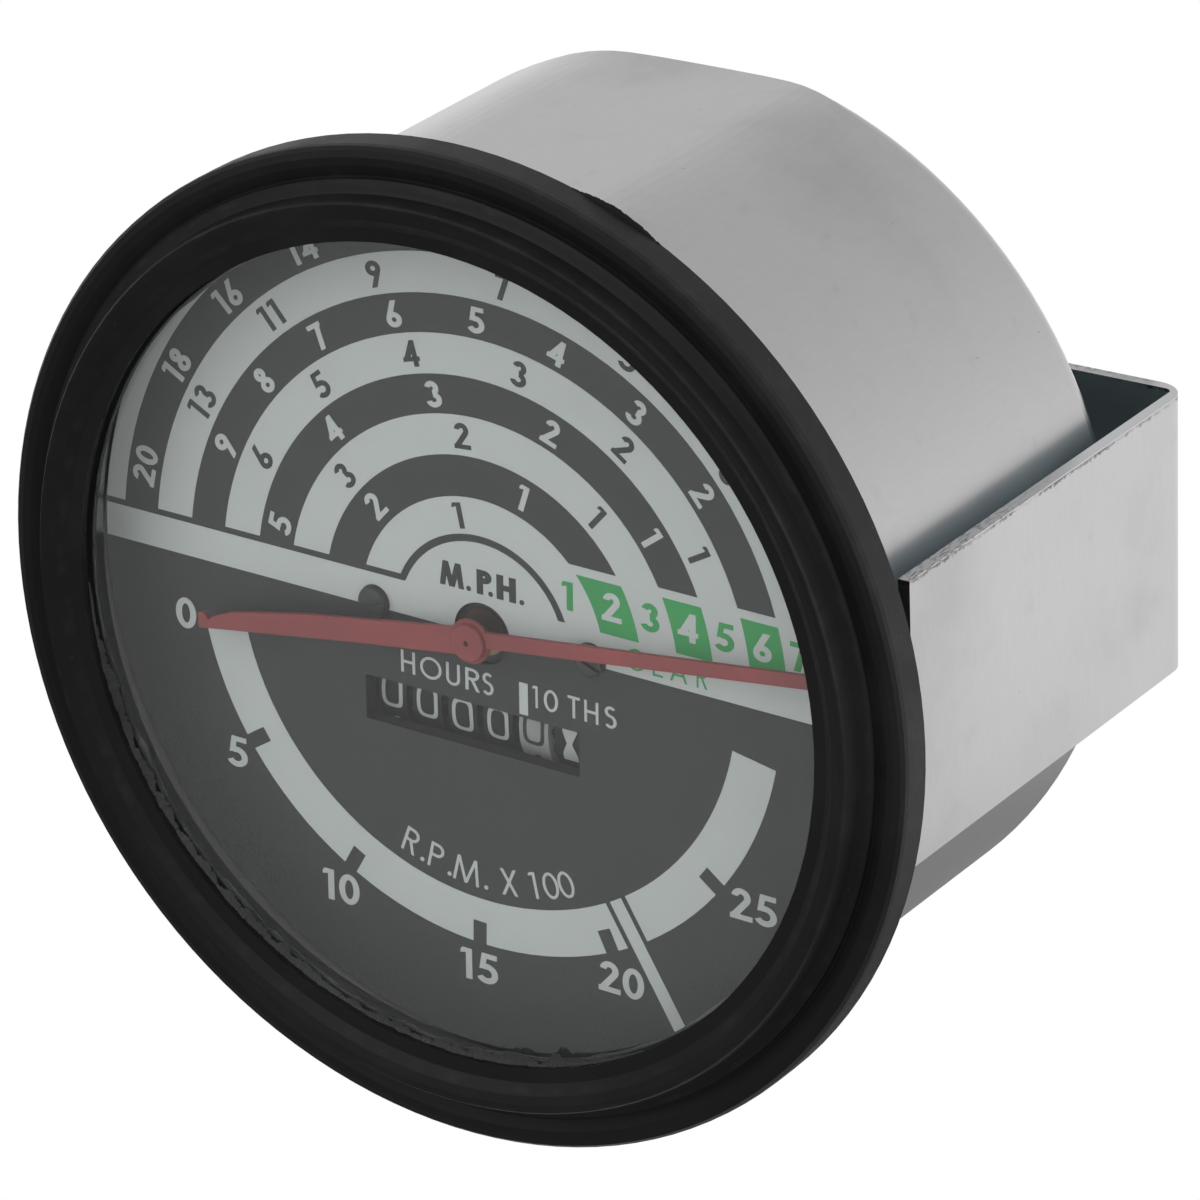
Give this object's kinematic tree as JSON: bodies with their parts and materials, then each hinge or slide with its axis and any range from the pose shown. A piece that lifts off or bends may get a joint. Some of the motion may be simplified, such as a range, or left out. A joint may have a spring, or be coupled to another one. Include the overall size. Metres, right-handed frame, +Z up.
{
  "type": "tachometer",
  "caption": "Round panel tachometer with engine and road speed scales, an hour counter, a rubber panel seal and a strap bracket behind.",
  "frame": {"origin": "on the gauge's axis in the front plane of the panel, which is the rear face of the rubber seal's flange", "axes": "+Y along the axis to the rear, out of the back of the panel; +Z up and +X to the right as the dial is read from the front"},
  "size_m": [0.1244, 0.087, 0.1244],
  "materials": {
    "seal_rubber": "matte, faded and scuffed",
    "zinc_plate": "satin zinc plating, dulled",
    "bare_steel": "turned steel",
    "brass": "stamped and turned brass",
    "aluminium": "spun aluminium",
    "lens_glass": "clear flat glass",
    "bulb_glass": "clear lamp glass",
    "gasket": "aged sealant with a rough edge",
    "dial_black": "matt black paint",
    "dial_white": "matt pale screen print",
    "dial_green": "matt green screen print",
    "screw_black": "black oxide",
    "pointer_red": "faded red paint",
    "wheel_black": "moulded black",
    "wheel_pale": "moulded off-white",
    "pinion_plastic": "moulded natural",
    "magnet_grey": "cast magnet alloy",
    "spring_blue": "blued spring steel"
  },
  "bodies": {
    "frame": {"seal_ring": "seal_rubber", "bezel": "zinc_plate", "lens": "lens_glass", "lens_gasket": "gasket", "dial_plate": "dial_black", "scale_print": "dial_white", "gear_print": "dial_green", "dial_screws": "screw_black", "hairspring": "spring_blue", "spring_post": "brass", "staff_bush_front": "screw_black", "staff_bush_rear": "brass", "field_ring": "bare_steel", "shaft_bush": "brass", "front_plate": "dial_black", "middle_plate": "brass", "rear_plate": "brass", "back_plate": "brass", "front_pillars": "brass", "middle_pillars": "brass", "rear_pillars": "brass", "counter_shaft": "bare_steel", "counter_frame": "bare_steel", "pinion_shaft": "bare_steel", "case": "zinc_plate", "case_screws": "bare_steel", "drive_adaptor": "brass", "mounting_studs": "zinc_plate", "bracket": "zinc_plate", "stud_washers": "zinc_plate", "thumb_nuts": "brass", "bulb_holder": "zinc_plate", "bulb": "bulb_glass", "bulb_terminal": "brass"},
    "needle": {"pointer": "pointer_red", "pointer_staff": "bare_steel", "drag_cup": "aluminium"},
    "drive": {"drive_shaft": "bare_steel", "magnet": "magnet_grey"},
    "cross": {"cross_shaft": "bare_steel", "cross_wheel": "brass"},
    "lay": {"lay_shaft": "bare_steel", "lay_wheel": "brass"},
    "run": {"run_wheel": "wheel_black", "run_gear": "brass"},
    "tenths": {"tenths_wheel": "wheel_pale"},
    "hours": {"hours_wheel": "wheel_black"},
    "tens": {"tens_wheel": "wheel_black"},
    "hundreds": {"hundreds_wheel": "wheel_black"},
    "thousands": {"thousands_wheel": "wheel_black"},
    "carry_1": {"carry_pinion_1": "pinion_plastic"},
    "carry_2": {"carry_pinion_2": "pinion_plastic"},
    "carry_3": {"carry_pinion_3": "pinion_plastic"},
    "carry_4": {"carry_pinion_4": "pinion_plastic"},
    "carry_5": {"carry_pinion_5": "pinion_plastic"}
  },
  "joints": [
    {"name": "pointer_turn", "type": "hinge", "parent": "frame", "child": "needle", "pos_m": [0, 0.0008, 0], "axis": [0, -1, 0], "range_deg": [0, 161], "stiffness_Nm_per_rad": 0.0002},
    {"name": "drive_spin", "type": "hinge", "parent": "frame", "child": "drive", "pos_m": [0, 0.0467, 0], "axis": [0, -1, 0], "continuous": true},
    {"name": "cross_spin", "type": "hinge", "parent": "frame", "child": "cross", "pos_m": [0.00823, 0.0467, 0], "axis": [0, 0, 1], "continuous": true},
    {"name": "lay_spin", "type": "hinge", "parent": "frame", "child": "lay", "pos_m": [0.01557, 0.0148, -0.01846], "axis": [0, 1, 0], "continuous": true},
    {"name": "run_spin", "type": "hinge", "parent": "frame", "child": "run", "pos_m": [0.01029, 0.0148, -0.0124], "axis": [1, 0, 0], "continuous": true},
    {"name": "tenths_spin", "type": "hinge", "parent": "frame", "child": "tenths", "pos_m": [0.00524, 0.0148, -0.0124], "axis": [1, 0, 0], "continuous": true},
    {"name": "carry_spin_5", "type": "hinge", "parent": "frame", "child": "carry_5", "pos_m": [0.00776, 0.0148, -0.02242], "axis": [1, 0, 0], "continuous": true},
    {"name": "hours_spin", "type": "hinge", "parent": "frame", "child": "hours", "pos_m": [0.00018, 0.0148, -0.0124], "axis": [1, 0, 0], "continuous": true},
    {"name": "carry_spin_4", "type": "hinge", "parent": "frame", "child": "carry_4", "pos_m": [0.00271, 0.0148, -0.02242], "axis": [1, 0, 0], "continuous": true},
    {"name": "tens_spin", "type": "hinge", "parent": "frame", "child": "tens", "pos_m": [-0.00487, 0.0148, -0.0124], "axis": [1, 0, 0], "continuous": true},
    {"name": "carry_spin_3", "type": "hinge", "parent": "frame", "child": "carry_3", "pos_m": [-0.00234, 0.0148, -0.02242], "axis": [1, 0, 0], "continuous": true},
    {"name": "hundreds_spin", "type": "hinge", "parent": "frame", "child": "hundreds", "pos_m": [-0.00992, 0.0148, -0.0124], "axis": [1, 0, 0], "continuous": true},
    {"name": "carry_spin_2", "type": "hinge", "parent": "frame", "child": "carry_2", "pos_m": [-0.00739, 0.0148, -0.02242], "axis": [1, 0, 0], "continuous": true},
    {"name": "thousands_spin", "type": "hinge", "parent": "frame", "child": "thousands", "pos_m": [-0.01496, 0.0148, -0.0124], "axis": [1, 0, 0], "continuous": true},
    {"name": "carry_spin_1", "type": "hinge", "parent": "frame", "child": "carry_1", "pos_m": [-0.01244, 0.0148, -0.02242], "axis": [1, 0, 0], "continuous": true}
  ],
  "couplings": [
    {"joint": "cross_spin", "follows": "drive_spin", "ratio": -0.05},
    {"joint": "lay_spin", "follows": "drive_spin", "ratio": 0.0025},
    {"joint": "run_spin", "follows": "drive_spin", "ratio": -0.00016667},
    {"joint": "tenths_spin", "follows": "drive_spin", "ratio": -0.000016667},
    {"joint": "carry_spin_5", "follows": "drive_spin", "ratio": 0.000041667},
    {"joint": "hours_spin", "follows": "drive_spin", "ratio": -0.0000016667},
    {"joint": "carry_spin_4", "follows": "drive_spin", "ratio": 0.0000041667},
    {"joint": "tens_spin", "follows": "drive_spin", "ratio": -0.00000016667},
    {"joint": "carry_spin_3", "follows": "drive_spin", "ratio": 0.00000041667},
    {"joint": "hundreds_spin", "follows": "drive_spin", "ratio": -0.000000016667},
    {"joint": "carry_spin_2", "follows": "drive_spin", "ratio": 0.000000041667},
    {"joint": "thousands_spin", "follows": "drive_spin", "ratio": -0.0000000016667},
    {"joint": "carry_spin_1", "follows": "drive_spin", "ratio": 0.0000000041667}
  ]
}
